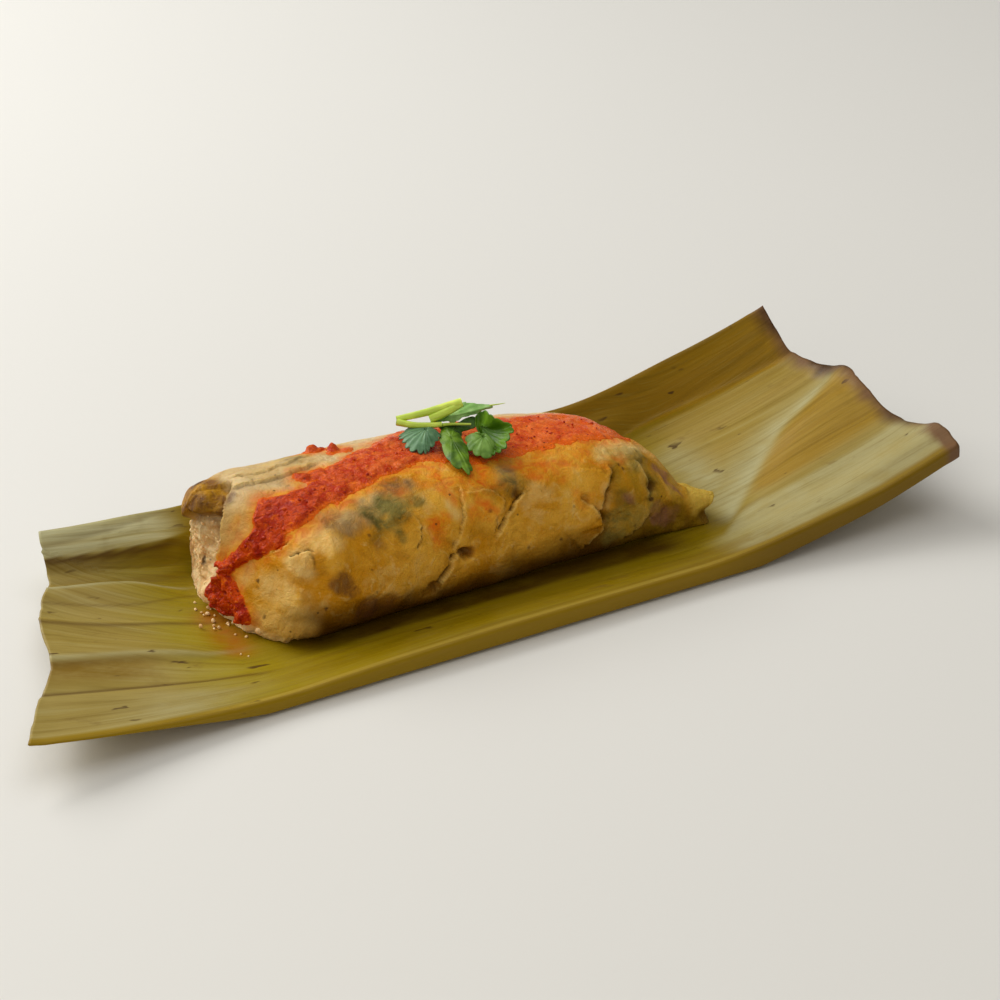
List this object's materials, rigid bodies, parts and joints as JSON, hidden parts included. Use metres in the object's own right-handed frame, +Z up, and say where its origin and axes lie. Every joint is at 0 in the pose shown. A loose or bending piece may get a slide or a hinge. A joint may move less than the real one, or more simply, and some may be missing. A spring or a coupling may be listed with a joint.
{
  "type": "tamale",
  "caption": "Steamed tamale lying on its opened banana leaf, with red salsa along the top and a coriander sprig.",
  "frame": {"origin": "under the middle of the leaf, at the height of the surface it lies on", "axes": "+X along the tamale from its open end to its pointed tip, +Y from the leaf's folded hem to its raised back edge, +Z up"},
  "size_m": [0.3006, 0.0996, 0.0419],
  "materials": {
    "leaf": "satin, steamed",
    "masa": "moist",
    "salsa": "wet",
    "coriander": "satin"
  },
  "bodies": {
    "root": {"banana_leaf": "leaf", "masa": "masa", "salsa": "salsa", "coriander_sprig": "coriander"}
  },
  "joints": []
}
